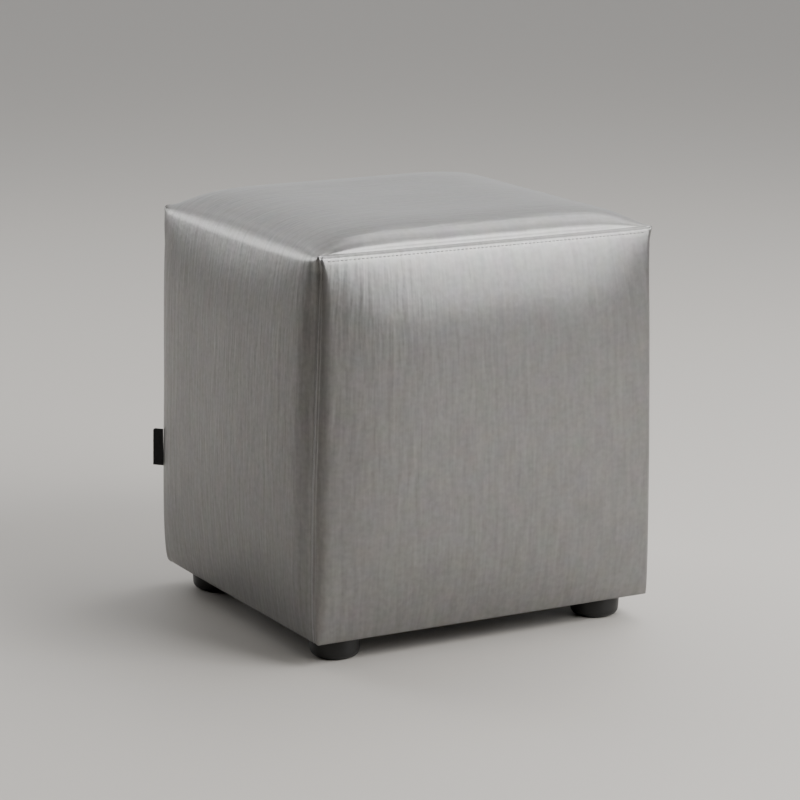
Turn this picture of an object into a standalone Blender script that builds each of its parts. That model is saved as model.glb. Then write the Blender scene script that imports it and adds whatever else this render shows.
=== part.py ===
"""Cube pouf stool: a filled seat under a metallic grey cover, on four low round feet.

The cover is cut as one long strip, which runs up the left side, over the seat and down the
right side, and two end panels sewn to it, front and back. All sizes are in metres. +Z is up,
the front panel faces -Y, and the floor is z = 0.
"""

import math

import bmesh
import bpy
import numpy as np

# ---------------------------------------------------------------- driving dimensions

COLLECTION_NAME = "cube_pouf_stool"

FRONT_WIDTH = 0.400          # across the front, from seam corner to seam corner
DEPTH = 0.364                # front seam corner to back seam corner
BODY_HEIGHT = 0.407          # lower edge of the cover to the top seam corners
FLOOR_GAP = 0.0254           # floor to the lower edge of the cover
PIECE_GAP = 0.0003           # clearance between neighbouring pieces

# The filling pushes the cover out past the straight box through the seam corners.
SEAT_CROWN = 0.0223          # rise of the seat's middle above the top seam corners
FOLD_RADIUS = 0.012          # roundness of the left and right folds at their middle
FOLD_RADIUS_AT_SEAM = 0.003  # and where they run into the end panels' seams
SIDE_FULLNESS = 0.014        # bulge of the left and right sides at their middle
END_FULLNESS = 0.024         # bulge of the front and back panels at their middle
EDGE_FULLNESS = {            # bulge of each upright edge at half height
    "front_left": 0.008,
    "front_right": 0.006,
    "back_left": 0.010,
    "back_right": 0.008,
}
UPRIGHT_ROUNDNESS = 0.014    # radius of the upright edges at half height
SETTLED_SPREAD = 0.013       # the filling has sunk: the base is wider than the top by this share

# How the bulges fall away towards the seams: (1 - |share| ** power) ** root.
EDGE_HEIGHT_PROFILE = (6.3, 0.5)    # up the upright edges
SIDE_HEIGHT_PROFILE = (3.0, 1.0)    # up the left and right sides
END_HEIGHT_PROFILE = (3.0, 0.8)     # up the front and back panels
SIDE_PROFILE = (2.0, 1.0)           # from the middle of a side to its upright edges
END_PROFILE = (4.0, 1.0)            # from the middle of an end panel to its upright edges
CROWN_ACROSS = (7.0, 1.0)           # the seat, from its middle to the folds
CROWN_BACKWARDS = (11.0, 0.7)       # and from its middle to the seams
FOLD_PROFILE = (2.0, 0.4)           # the folds' roundness, from their middle to the seams
SWELL_PROFILE = (8.0, 1.0)          # the panels' thickness
BULGE_POWER = 3              # how soon a side's bulge fades towards the pouf's middle
VALLEY_POWER = 8             # and a seam's valley
RISE_POWER = 2               # and the seat's rise towards the floor

# The front panel's upright seams lie round the corner, on the sides, and are pulled in.
# Columns: share of the body's height, distance round the corner, depth of the seam's valley.
FRONT_SEAM = (
    (0.00, 0.012, 0.0010),
    (0.10, 0.013, 0.0025),
    (0.40, 0.013, 0.0045),
    (0.65, 0.0105, 0.0060),
    (0.85, 0.008, 0.0060),
    (0.96, 0.004, 0.0035),
    (1.00, 0.0015, 0.0),
)
BACK_SEAM = (
    (0.00, 0.004, 0.0010),
    (0.50, 0.004, 0.0030),
    (0.90, 0.004, 0.0030),
    (1.00, 0.0015, 0.0),
)
VALLEY_WIDTH_ON_STRIP = 0.016
VALLEY_WIDTH_ON_PANEL = 0.009
FRONT_PANEL_SWELL = 0.004    # the panels are thicker in their middle than at their seams
BACK_PANEL_SWELL = 0.012
SEAM_LIP = 0.001             # thickness of a panel's edge at its seam

BASE_CLOTH_INSET = 0.014
BASE_CLOTH_THICKNESS = 0.0015
BASE_CLOTH_CORNER = 0.020
BASE_CLOTH_CORNER_STEPS = 5

FOOT_RADIUS_TOP = 0.0272
FOOT_RADIUS_BELOW = 0.0264
FOOT_EDGE_RADIUS = 0.008
FOOT_INSET = 0.039           # foot axis to the straight sides of the box
FOOT_STEPS = 28
FOOT_EDGE_STEPS = 4

LABEL_HEIGHT = 0.042
LABEL_REACH = 0.012          # how far it stands out of the seam
LABEL_THICKNESS = 0.0012     # a woven tape folded double
LABEL_MIDDLE_HEIGHT = 0.158
LABEL_TURN = 48.0            # degrees from -X towards +Y
LABEL_SEAT = 0.0006          # from the seam's line to the label's root
LABEL_EDGE_RADIUS = 0.0005
LABEL_EDGE_STEPS = 2

SHARP_ANGLE = 40.0           # degrees between faces that are shaded apart
LEVELS_ACROSS = 11           # slices from the middle of a solid to its edge
LEVELS_BACKWARDS = 9
LEVELS_UP = 8

# ---------------------------------------------------------------- worked out from them

HALF_WIDTH = FRONT_WIDTH / 2
HALF_DEPTH = DEPTH / 2
TOP_HEIGHT = FLOOR_GAP + BODY_HEIGHT
FOOT_TOP = FLOOR_GAP - BASE_CLOTH_THICKNESS - 2 * PIECE_GAP


# ---------------------------------------------------------------- scene and materials

def clear_scene():
    for old in list(bpy.data.objects):
        bpy.data.objects.remove(old)


def make_collection(name):
    group = bpy.data.collections.new(name)
    bpy.context.scene.collection.children.link(group)
    return group


def make_material(name, colour, roughness, metallic):
    material = bpy.data.materials.new(name)
    material.use_nodes = True
    shader = material.node_tree.nodes["Principled BSDF"]
    shader.inputs["Base Color"].default_value = (*colour, 1.0)
    shader.inputs["Roughness"].default_value = roughness
    shader.inputs["Metallic"].default_value = metallic
    return material


def add_object(name, mesh, material, group):
    mesh.materials.append(material)
    piece = bpy.data.objects.new(name, mesh)
    group.objects.link(piece)
    return piece


# ---------------------------------------------------------------- the pouf's form

def fullness(share, profile):
    """1 in the middle, falling to 0 where the share is -1 or 1."""
    power, root = profile
    return np.clip(1.0 - np.abs(share) ** power, 0.0, 1.0) ** root


def seam_column(table, height_share, column):
    """One column of a seam table, read at any height."""
    rows = np.array(table)
    return np.interp(height_share, rows[:, 0], rows[:, column])


def round_corner(along, over, radius):
    """Turn the square corner block [0, radius] x [0, radius] into a quarter disc."""
    inside = (along > 0) & (over > 0)
    reach = np.maximum(along, over)
    length = np.where(inside, np.hypot(along, over), 1.0)
    scale = np.where(inside & (radius > 0), reach / length, 1.0)
    return along * scale, over * scale


def round_folds(x, z, strip_share):
    """Round the left and right folds, tightly at the seams and softly between them."""
    spread = FOLD_RADIUS - FOLD_RADIUS_AT_SEAM
    radius = FOLD_RADIUS_AT_SEAM + spread * fullness(strip_share, FOLD_PROFILE)
    along, over = round_corner(np.abs(x) - (HALF_WIDTH - radius), z - (TOP_HEIGHT - radius), radius)
    return np.sign(x) * (HALF_WIDTH - radius + along), TOP_HEIGHT - radius + over


def round_uprights(x, y, height_share):
    """Round the four upright edges, which are sharp only at their ends."""
    radius = UPRIGHT_ROUNDNESS * fullness(2 * height_share - 1, EDGE_HEIGHT_PROFILE)
    along, over = round_corner(np.abs(x) - (HALF_WIDTH - radius), np.abs(y) - (HALF_DEPTH - radius), radius)
    return np.sign(x) * (HALF_WIDTH - radius + along), np.sign(y) * (HALF_DEPTH - radius + over)


def edge_bulge(x, y):
    """Bulge of the upright edges, blended over the plan from the four corners."""
    right = np.clip((x / HALF_WIDTH + 1) / 2, 0.0, 1.0)
    back = np.clip((y / HALF_DEPTH + 1) / 2, 0.0, 1.0)
    front_row = EDGE_FULLNESS["front_left"] * (1 - right) + EDGE_FULLNESS["front_right"] * right
    back_row = EDGE_FULLNESS["back_left"] * (1 - right) + EDGE_FULLNESS["back_right"] * right
    return front_row * (1 - back) + back_row * back


def seam_valley(x, y, height_share):
    """Inward pull beside the four upright seams, as a move along x and along y."""
    front = y < 0
    distance_round = np.where(
        front,
        seam_column(FRONT_SEAM, height_share, 1),
        seam_column(BACK_SEAM, height_share, 1),
    )
    valley = np.where(
        front,
        seam_column(FRONT_SEAM, height_share, 2),
        seam_column(BACK_SEAM, height_share, 2),
    )
    from_seam = (HALF_DEPTH - distance_round) - np.abs(y)
    width = np.where(from_seam > 0, VALLEY_WIDTH_ON_STRIP, VALLEY_WIDTH_ON_PANEL)
    pull = valley * np.exp(-(from_seam / width) ** 2) * (np.abs(x) / HALF_WIDTH) ** VALLEY_POWER
    return pull, np.where(front, 0.0, pull)


def fill_out(x, y, z, strip_share):
    """Carry a point of the straight box to its place on the filled pouf.

    strip_share runs across the long strip, from -1 at its front seam to 1 at its back seam.
    """
    x, z = round_folds(x, z, strip_share)
    height_share = np.clip((z - FLOOR_GAP) / BODY_HEIGHT, 0.0, 1.0)
    x, y = round_uprights(x, y, height_share)
    x_share = x / HALF_WIDTH
    y_share = y / HALF_DEPTH
    edge = edge_bulge(x, y) * fullness(2 * height_share - 1, EDGE_HEIGHT_PROFILE)
    side = SIDE_FULLNESS * fullness(2 * height_share - 1, SIDE_HEIGHT_PROFILE)
    side = edge + (side - edge) * fullness(np.clip(y_share, -1, 1), SIDE_PROFILE)
    end = END_FULLNESS * fullness(2 * height_share - 1, END_HEIGHT_PROFILE)
    end = edge + (end - edge) * fullness(np.clip(x_share, -1, 1), END_PROFILE)
    pull_x, pull_y = seam_valley(x, y, height_share)
    crown = fullness(np.clip(x_share, -1, 1), CROWN_ACROSS) * fullness(strip_share, CROWN_BACKWARDS)
    rise = SEAT_CROWN * crown * height_share ** RISE_POWER
    spread = 1 + SETTLED_SPREAD * (0.5 - height_share)
    return (
        spread * (x + np.sign(x) * (np.abs(x_share) ** BULGE_POWER * side - pull_x)),
        spread * (y + np.sign(y) * (np.abs(y_share) ** BULGE_POWER * end - pull_y)),
        z + rise,
    )


def panel_depth(x_share, height_share, seam, swell):
    """How far an end panel reaches into the straight box, from its outer plane."""
    middle = fullness(x_share, SWELL_PROFILE) * fullness(2 * height_share - 1, SWELL_PROFILE)
    return seam_column(seam, height_share, 1) + swell * middle


# ---------------------------------------------------------------- solids

def levels(count):
    """Slice positions from -1 to 1, closest together near both ends."""
    return np.sin(np.linspace(-math.pi / 2, math.pi / 2, 2 * count + 1))


def sliced_block(name, x_levels, y_levels, z_levels):
    """A cube of side 2, sliced into a lattice at the given levels."""
    mesh = bmesh.new()
    bmesh.ops.create_cube(mesh, size=2.0)
    for axis, cuts in enumerate((x_levels, y_levels, z_levels)):
        normal = [0.0, 0.0, 0.0]
        normal[axis] = 1.0
        for cut in cuts[1:-1]:
            point = [0.0, 0.0, 0.0]
            point[axis] = float(cut)
            everything = mesh.verts[:] + mesh.edges[:] + mesh.faces[:]
            bmesh.ops.bisect_plane(mesh, geom=everything, dist=1e-6, plane_co=point, plane_no=normal)
    block = bpy.data.meshes.new(name)
    mesh.to_mesh(block)
    mesh.free()
    return block


def read_points(mesh):
    points = np.empty(len(mesh.vertices) * 3)
    mesh.vertices.foreach_get("co", points)
    return points.reshape(-1, 3).T


def write_points(mesh, x, y, z):
    """Put the points in place, and split the warped faces along their shorter diagonals."""
    mesh.vertices.foreach_set("co", np.column_stack((x, y, z)).ravel())
    mesh.update()
    faces = bmesh.new()
    faces.from_mesh(mesh)
    bmesh.ops.triangulate(faces, faces=faces.faces[:], quad_method="SHORT_EDGE")
    faces.to_mesh(mesh)
    faces.free()
    mesh.shade_smooth()
    mesh.set_sharp_from_angle(angle=math.radians(SHARP_ANGLE))


def make_seat(material, group):
    """The long strip of the cover with the filling that it holds: left side, seat, right side."""
    mesh = sliced_block("seat_strip", levels(LEVELS_ACROSS), levels(LEVELS_BACKWARDS), levels(LEVELS_UP))
    u, v, t = read_points(mesh)
    height_share = (t + 1) / 2
    front_end = -HALF_DEPTH + panel_depth(u, height_share, FRONT_SEAM, FRONT_PANEL_SWELL) + PIECE_GAP
    back_end = HALF_DEPTH - panel_depth(u, height_share, BACK_SEAM, BACK_PANEL_SWELL) - PIECE_GAP
    x = u * HALF_WIDTH
    y = front_end + (back_end - front_end) * (v + 1) / 2
    z = FLOOR_GAP + height_share * BODY_HEIGHT
    write_points(mesh, *fill_out(x, y, z, v))
    return add_object("seat_strip", mesh, material, group)


def make_end_panel(name, side, seam, swell, material, group):
    """A padded end panel; side is -1 for the front and 1 for the back."""
    mesh = sliced_block(name, levels(LEVELS_ACROSS), (-1.0, 1.0), levels(LEVELS_UP))
    u, v, t = read_points(mesh)
    height_share = (t + 1) / 2
    outer = v * side > 0
    round_corner_by = seam_column(seam, height_share, 1) - SEAM_LIP
    along = u * (HALF_WIDTH + round_corner_by)
    past_corner = np.clip(np.abs(along) - HALF_WIDTH, 0.0, None)
    depth = np.where(outer, past_corner, panel_depth(u, height_share, seam, swell))
    x = np.where(outer, np.clip(along, -HALF_WIDTH, HALF_WIDTH), u * HALF_WIDTH)
    y = side * (HALF_DEPTH - depth)
    z = FLOOR_GAP + height_share * BODY_HEIGHT
    write_points(mesh, *fill_out(x, y, z, np.ones_like(x)))
    return add_object(name, mesh, material, group)


def make_base_cloth(material, group):
    """A flat sheet with rounded corners, under the seat and the panels' lower edges."""
    half_width = HALF_WIDTH - BASE_CLOTH_INSET
    half_depth = HALF_DEPTH - BASE_CLOTH_INSET
    mesh = bmesh.new()
    bmesh.ops.create_cube(mesh, size=1.0)
    bmesh.ops.scale(mesh, vec=(2 * half_width, 2 * half_depth, BASE_CLOTH_THICKNESS), verts=mesh.verts)
    middle_height = FLOOR_GAP - PIECE_GAP - BASE_CLOTH_THICKNESS / 2
    bmesh.ops.translate(mesh, vec=(0.0, 0.0, middle_height), verts=mesh.verts)
    uprights = [edge for edge in mesh.edges if abs(edge.verts[0].co.z - edge.verts[1].co.z) > PIECE_GAP]
    bmesh.ops.bevel(
        mesh,
        geom=uprights,
        offset=BASE_CLOTH_CORNER,
        segments=BASE_CLOTH_CORNER_STEPS,
        affect="EDGES",
    )
    sheet = bpy.data.meshes.new("base_cloth")
    mesh.to_mesh(sheet)
    mesh.free()
    return add_object("base_cloth", sheet, material, group)


def make_foot_mesh():
    """Half outline of a foot, from the middle of its top down its wall to its flat underside."""
    turn = np.linspace(0.0, math.pi / 2, FOOT_EDGE_STEPS + 1)
    flat_radius = FOOT_RADIUS_BELOW - FOOT_EDGE_RADIUS
    edge_x = flat_radius + FOOT_EDGE_RADIUS * np.cos(turn)
    edge_z = FOOT_EDGE_RADIUS - FOOT_EDGE_RADIUS * np.sin(turn)
    outline = [(0.0, 0.0, FOOT_TOP), (FOOT_RADIUS_TOP, 0.0, FOOT_TOP)]
    outline += [(float(x), 0.0, float(z)) for x, z in zip(edge_x, edge_z)]
    outline += [(0.0, 0.0, 0.0)]
    steps = [(index, index + 1) for index in range(len(outline) - 1)]
    mesh = bpy.data.meshes.new("foot")
    mesh.from_pydata(outline, steps, [])
    return mesh


def make_feet(material, group):
    mesh = make_foot_mesh()
    mesh.materials.append(material)
    for depth_name, y_side in (("front", -1), ("back", 1)):
        for side_name, x_side in (("left", -1), ("right", 1)):
            foot = bpy.data.objects.new(f"foot_{depth_name}_{side_name}", mesh)
            foot.location = (x_side * (HALF_WIDTH - FOOT_INSET), y_side * (HALF_DEPTH - FOOT_INSET), 0.0)
            group.objects.link(foot)
            turned = foot.modifiers.new("turned", "SCREW")
            turned.steps = FOOT_STEPS
            turned.render_steps = FOOT_STEPS
            turned.use_merge_vertices = True
            turned.merge_threshold = 0.00001
            turned.use_smooth_shade = True


def make_label(material, group):
    """A woven tape folded double, standing out of the back left seam."""
    seam_x, seam_y, _ = fill_out(
        np.array([-HALF_WIDTH]),
        np.array([HALF_DEPTH - float(seam_column(BACK_SEAM, 0.5, 1))]),
        np.array([LABEL_MIDDLE_HEIGHT]),
        np.array([1.0]),
    )
    turn = math.radians(180.0 - LABEL_TURN)
    reach = LABEL_SEAT + LABEL_REACH / 2
    mesh = bpy.data.meshes.new("side_label")
    shape = bmesh.new()
    bmesh.ops.create_cube(shape, size=1.0)
    bmesh.ops.scale(shape, vec=(LABEL_REACH, LABEL_THICKNESS, LABEL_HEIGHT), verts=shape.verts)
    shape.to_mesh(mesh)
    shape.free()
    label = add_object("side_label", mesh, material, group)
    label.location = (
        float(seam_x[0]) + reach * math.cos(turn),
        float(seam_y[0]) + reach * math.sin(turn),
        LABEL_MIDDLE_HEIGHT,
    )
    label.rotation_euler = (0.0, 0.0, turn)
    softened = label.modifiers.new("softened", "BEVEL")
    softened.width = LABEL_EDGE_RADIUS
    softened.segments = LABEL_EDGE_STEPS
    return label


# ---------------------------------------------------------------- the stool

def build():
    clear_scene()
    group = make_collection(COLLECTION_NAME)
    cover = make_material("metallic_cloth", (0.40, 0.39, 0.38), 0.36, 0.75)
    underside = make_material("underside_cloth", (0.02, 0.02, 0.02), 0.95, 0.0)
    plastic = make_material("foot_plastic", (0.012, 0.012, 0.012), 0.42, 0.0)
    tape = make_material("label_tape", (0.015, 0.015, 0.015), 0.8, 0.0)
    make_seat(cover, group)
    make_end_panel("front_panel", -1, FRONT_SEAM, FRONT_PANEL_SWELL, cover, group)
    make_end_panel("back_panel", 1, BACK_SEAM, BACK_PANEL_SWELL, cover, group)
    make_base_cloth(underside, group)
    make_feet(plastic, group)
    make_label(tape, group)


build()
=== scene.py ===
# %% [markdown]
# # A cube pouf in metallic cloth
#
# This lesson dresses a plain CAD model of a cube pouf stool. The real one is a filled body under a
# tight cover of coated, metallic grey cloth. The cover is sewn from one long strip, which runs up the
# left side, over the seat and down the right side, and two end panels, front and back. It stands on
# four low plastic feet, and a folded woven tape stands out of one seam.
#
# Each step below says what the piece is, how it could be made, and why it is made this way. The CAD
# model comes first. It is loaded as a fixed frame in metres, and each new piece takes its place there.

# %% The frame
import math

import bmesh
import bpy
import numpy as np
from mathutils import Matrix, Vector


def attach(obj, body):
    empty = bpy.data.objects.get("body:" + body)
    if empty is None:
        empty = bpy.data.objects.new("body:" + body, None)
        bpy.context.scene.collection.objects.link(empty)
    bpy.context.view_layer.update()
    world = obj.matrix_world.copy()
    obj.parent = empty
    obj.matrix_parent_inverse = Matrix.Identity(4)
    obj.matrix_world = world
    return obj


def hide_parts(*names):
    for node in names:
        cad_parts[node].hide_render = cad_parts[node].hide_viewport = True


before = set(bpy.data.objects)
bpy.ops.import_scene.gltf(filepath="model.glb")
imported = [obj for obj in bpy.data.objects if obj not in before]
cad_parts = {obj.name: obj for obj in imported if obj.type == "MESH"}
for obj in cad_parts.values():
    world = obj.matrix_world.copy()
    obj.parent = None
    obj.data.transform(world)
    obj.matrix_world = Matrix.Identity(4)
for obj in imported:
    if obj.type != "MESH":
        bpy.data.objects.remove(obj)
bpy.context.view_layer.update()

# %% [markdown]
# ## The pouf's form
#
# The body is a straight box that its filling has pushed out. So its form is one rule that carries
# any point of the straight box to its place on the filled pouf: the folds and the upright edges are
# rounded, the sides bulge, the seat is crowned, and the cloth is pulled in beside the seams. Every
# piece of the cover is then made from the same rule, and so neighbours always meet.

# %% Sizes of the straight box, in metres
FRONT_WIDTH = 0.400
DEPTH = 0.364
BODY_HEIGHT = 0.407
FLOOR_GAP = 0.0254
PIECE_GAP = 0.0003
HALF_WIDTH = FRONT_WIDTH / 2
HALF_DEPTH = DEPTH / 2
TOP_HEIGHT = FLOOR_GAP + BODY_HEIGHT
print("straight box, mm:", [round(1000 * size) for size in (FRONT_WIDTH, DEPTH, BODY_HEIGHT)])

# %% How far the filling pushes the cover out
SEAT_CROWN = 0.0223
FOLD_RADIUS = 0.012
FOLD_RADIUS_AT_SEAM = 0.003
SIDE_FULLNESS = 0.014
END_FULLNESS = 0.024
EDGE_FULLNESS = {"front_left": 0.008, "front_right": 0.006, "back_left": 0.010, "back_right": 0.008}
UPRIGHT_ROUNDNESS = 0.014
SETTLED_SPREAD = 0.013

# Each profile is (power, root) of the curve (1 - |share| ** power) ** root.
EDGE_HEIGHT_PROFILE = (6.3, 0.5)
SIDE_HEIGHT_PROFILE = (3.0, 1.0)
END_HEIGHT_PROFILE = (3.0, 0.8)
SIDE_PROFILE = (2.0, 1.0)
END_PROFILE = (4.0, 1.0)
CROWN_ACROSS = (7.0, 1.0)
CROWN_BACKWARDS = (11.0, 0.7)
FOLD_PROFILE = (2.0, 0.4)
SWELL_PROFILE = (8.0, 1.0)
BULGE_POWER = 3
VALLEY_POWER = 8
RISE_POWER = 2

# %% [markdown]
# ## Where the end panels are sewn on
#
# The upright seams don't lie on the pouf's edges but a little way round them, and their thread holds
# the cloth back, so each one lies in a valley. The distance and the depth change with the height.
# They could be sculpted. A short table is exact, and every piece that meets the seam reads it.

# %% Where the upright seams run
# Columns: share of the height, distance round the corner, depth of the valley.
ROUND_CORNER = 1
VALLEY = 2
FRONT_SEAM = np.array([
    (0.00, 0.012, 0.0010),
    (0.10, 0.013, 0.0025),
    (0.40, 0.013, 0.0045),
    (0.65, 0.0105, 0.0060),
    (0.85, 0.008, 0.0060),
    (0.96, 0.004, 0.0035),
    (1.00, 0.0015, 0.0),
])
BACK_SEAM = np.array([
    (0.00, 0.004, 0.0010),
    (0.50, 0.004, 0.0030),
    (0.90, 0.004, 0.0030),
    (1.00, 0.0015, 0.0),
])
VALLEY_WIDTH_ON_STRIP = 0.016
VALLEY_WIDTH_ON_PANEL = 0.009
FRONT_PANEL_SWELL = 0.004
BACK_PANEL_SWELL = 0.012
SEAM_LIP = 0.001


# %% The rule, part one: curves
def fullness(share, profile):
    """(1 - |share| ** power) ** root: 1 in the middle, 0 where the share is -1 or 1."""
    power, root = profile
    return np.clip(1.0 - np.abs(share) ** power, 0.0, 1.0) ** root


def seam_column(table, height_share, column):
    """One column of a seam table, read in straight lines at any height."""
    return np.interp(height_share, table[:, 0], table[:, column])


def smooth_step(share):
    """3 s^2 - 2 s^3 of the share, held between 0 and 1."""
    held = np.clip(share, 0.0, 1.0)
    return held * held * (3.0 - 2.0 * held)


def round_corner(along, over, radius):
    """Square corner block to quarter disc: a point keeps its greater coordinate as its distance."""
    inside = (along > 0) & (over > 0)
    reach = np.maximum(along, over)
    length = np.where(inside, np.hypot(along, over), 1.0)
    scale = np.where(inside & (radius > 0), reach / length, 1.0)
    return along * scale, over * scale


# %% The rule, part two: roundings
def round_folds(x, z, strip_share):
    """Left and right folds: a quarter circle, tight at the seams and wide between them."""
    spread = FOLD_RADIUS - FOLD_RADIUS_AT_SEAM
    radius = FOLD_RADIUS_AT_SEAM + spread * fullness(strip_share, FOLD_PROFILE)
    along, over = round_corner(np.abs(x) - (HALF_WIDTH - radius), z - (TOP_HEIGHT - radius), radius)
    return np.sign(x) * (HALF_WIDTH - radius + along), TOP_HEIGHT - radius + over


def round_uprights(x, y, height_share):
    """Upright edges: a quarter circle, widest at half height and sharp at both ends."""
    radius = UPRIGHT_ROUNDNESS * fullness(2 * height_share - 1, EDGE_HEIGHT_PROFILE)
    along, over = round_corner(
        np.abs(x) - (HALF_WIDTH - radius), np.abs(y) - (HALF_DEPTH - radius), radius
    )
    return np.sign(x) * (HALF_WIDTH - radius + along), np.sign(y) * (HALF_DEPTH - radius + over)


def edge_bulge(x, y):
    """Bulge of the upright edges, blended in straight lines over the plan."""
    right = np.clip((x / HALF_WIDTH + 1) / 2, 0.0, 1.0)
    back = np.clip((y / HALF_DEPTH + 1) / 2, 0.0, 1.0)
    front_row = EDGE_FULLNESS["front_left"] * (1 - right) + EDGE_FULLNESS["front_right"] * right
    back_row = EDGE_FULLNESS["back_left"] * (1 - right) + EDGE_FULLNESS["back_right"] * right
    return front_row * (1 - back) + back_row * back


def seam_valley(x, y, height_share):
    """Pull beside the upright seams: depth times exp(-(distance / width) ** 2)."""
    front = y < 0
    distance_round, valley = (
        np.where(
            front,
            seam_column(FRONT_SEAM, height_share, column),
            seam_column(BACK_SEAM, height_share, column),
        )
        for column in (ROUND_CORNER, VALLEY)
    )
    from_seam = (HALF_DEPTH - distance_round) - np.abs(y)
    width = np.where(from_seam > 0, VALLEY_WIDTH_ON_STRIP, VALLEY_WIDTH_ON_PANEL)
    pull = valley * np.exp(-((from_seam / width) ** 2)) * (np.abs(x) / HALF_WIDTH) ** VALLEY_POWER
    return pull, np.where(front, 0.0, pull)


# %% The rule, whole
def fill_out(x, y, z, strip_share):
    """Point of the straight box to its place on the pouf: roundings, then bulges, crown and valleys.

    strip_share runs across the long strip, from -1 at its front seam to 1 at its back seam.
    """
    x, z = round_folds(x, z, strip_share)
    height_share = np.clip((z - FLOOR_GAP) / BODY_HEIGHT, 0.0, 1.0)
    x, y = round_uprights(x, y, height_share)
    x_share = x / HALF_WIDTH
    y_share = y / HALF_DEPTH
    edge = edge_bulge(x, y) * fullness(2 * height_share - 1, EDGE_HEIGHT_PROFILE)
    side = SIDE_FULLNESS * fullness(2 * height_share - 1, SIDE_HEIGHT_PROFILE)
    side = edge + (side - edge) * fullness(np.clip(y_share, -1, 1), SIDE_PROFILE)
    end = END_FULLNESS * fullness(2 * height_share - 1, END_HEIGHT_PROFILE)
    end = edge + (end - edge) * fullness(np.clip(x_share, -1, 1), END_PROFILE)
    pull_x, pull_y = seam_valley(x, y, height_share)
    crown = fullness(np.clip(x_share, -1, 1), CROWN_ACROSS) * fullness(strip_share, CROWN_BACKWARDS)
    rise = SEAT_CROWN * crown * height_share ** RISE_POWER
    spread = 1 + SETTLED_SPREAD * (0.5 - height_share)
    return np.stack(
        (
            spread * (x + np.sign(x) * (np.abs(x_share) ** BULGE_POWER * side - pull_x)),
            spread * (y + np.sign(y) * (np.abs(y_share) ** BULGE_POWER * end - pull_y)),
            z + rise,
        ),
        axis=-1,
    )


middle_of_seat = fill_out(np.zeros(1), np.zeros(1), np.full(1, TOP_HEIGHT), np.zeros(1))[0]
print("middle of the seat, mm:", [round(1000 * float(value), 1) for value in middle_of_seat])

# %% [markdown]
# ## The sewn corner tips
#
# Where three seams meet, the turned edges of the cloth bunch up into a small firm tip. It could be
# pulled out by hand in sculpt mode. Here it is one more term of the rule, so the strip and the panels
# carry the same tip and still meet.

# %% The four sewn corner tips
TIP_REACH = 0.0014
TIP_LIFT = 0.0010
TIP_SIZE = 0.007


def on_the_pouf(x, y, z, strip_share):
    """The rule plus the corner tips, which stand out where three seams meet.

    Tip = reach sideways and lift upwards, times exp(-(distance to the top corner / size) ** 2).
    """
    points = fill_out(x, y, z, strip_share)
    squared = (HALF_WIDTH - np.abs(x)) ** 2 + (HALF_DEPTH - np.abs(y)) ** 2 + (TOP_HEIGHT - z) ** 2
    near = np.exp(-squared / TIP_SIZE**2)
    points[..., 0] += np.sign(x) * TIP_REACH * near
    points[..., 2] += TIP_LIFT * near
    return points


# %% [markdown]
# ## A block of cloth-covered filling
#
# Each piece of the cover is a closed block with six grids of points, one for each face, and the
# grids share their edges. Slices lie close together beside the seams, where the cloth rolls in
# sharply, and further apart in the middle. The grids are welded by their whole-number places, which
# is exact, and each corner of each quad keeps its own place on the flat cloth for the weave.

# %% Slices and the welded block
def slices(count, closeness):
    """Places from -1 to 1: a blend of even steps and sine steps, which crowd at both ends."""
    even = np.linspace(-1.0, 1.0, count)
    return (1 - closeness) * even + closeness * np.sin(even * math.pi / 2)


def welded_block(counts):
    """Six grids on a block of whole-number places, welded where the places are the same.

    Returns the places of the points, the quads with outward faces, and each quad's face number.
    """
    places, quads, faces = [], [], []
    start = 0
    for face, (axis, end) in enumerate([(a, e) for a in range(3) for e in (0, 1)]):
        first, second = [other for other in range(3) if other != axis]
        rows, columns = np.meshgrid(np.arange(counts[first]), np.arange(counts[second]), indexing="ij")
        grid = np.zeros((*rows.shape, 3), dtype=np.int64)
        grid[..., first] = rows
        grid[..., second] = columns
        grid[..., axis] = end * (counts[axis] - 1)
        number = start + np.arange(rows.size).reshape(rows.shape)
        quad = np.stack(
            (number[:-1, :-1], number[1:, :-1], number[1:, 1:], number[:-1, 1:]), axis=-1
        ).reshape(-1, 4)
        outward = (end == 1) == (axis != 1)
        quads.append(quad if outward else quad[:, ::-1])
        places.append(grid.reshape(-1, 3))
        faces.append(np.full(len(quad), face))
        start += rows.size
    everywhere, index = np.unique(np.concatenate(places), axis=0, return_inverse=True)
    return everywhere, index.reshape(-1)[np.concatenate(quads)], np.concatenate(faces)


def sliced_block(counts, closeness):
    """The welded block with its places as shares u, v and t, its quads and their face numbers."""
    places, quads, faces = welded_block(counts)
    shares = [slices(count, closeness)[places[:, axis]] for axis, count in enumerate(counts)]
    return *shares, quads, faces


# %% From arrays to a mesh
def mesh_from(name, points, quads, uv=None):
    """A mesh object from arrays: points (n, 3), quads (m, 4) and one uv for each quad corner."""
    mesh = bpy.data.meshes.new(name)
    mesh.vertices.add(len(points))
    mesh.vertices.foreach_set("co", np.ascontiguousarray(points, dtype=np.float32).ravel())
    mesh.loops.add(quads.size)
    mesh.loops.foreach_set("vertex_index", quads.astype(np.int32).ravel())
    mesh.polygons.add(len(quads))
    mesh.polygons.foreach_set("loop_start", np.arange(0, quads.size, quads.shape[1], dtype=np.int32))
    mesh.update(calc_edges=True)
    mesh.validate()
    mesh.shade_smooth()
    if uv is not None:
        layer = mesh.uv_layers.new(name="cloth")
        layer.data.foreach_set("uv", np.ascontiguousarray(uv, dtype=np.float32).ravel())
    piece = bpy.data.objects.new(name, mesh)
    bpy.context.scene.collection.objects.link(piece)
    print(f"{name}: {len(points)} points, {len(quads)} faces")
    return piece


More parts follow.
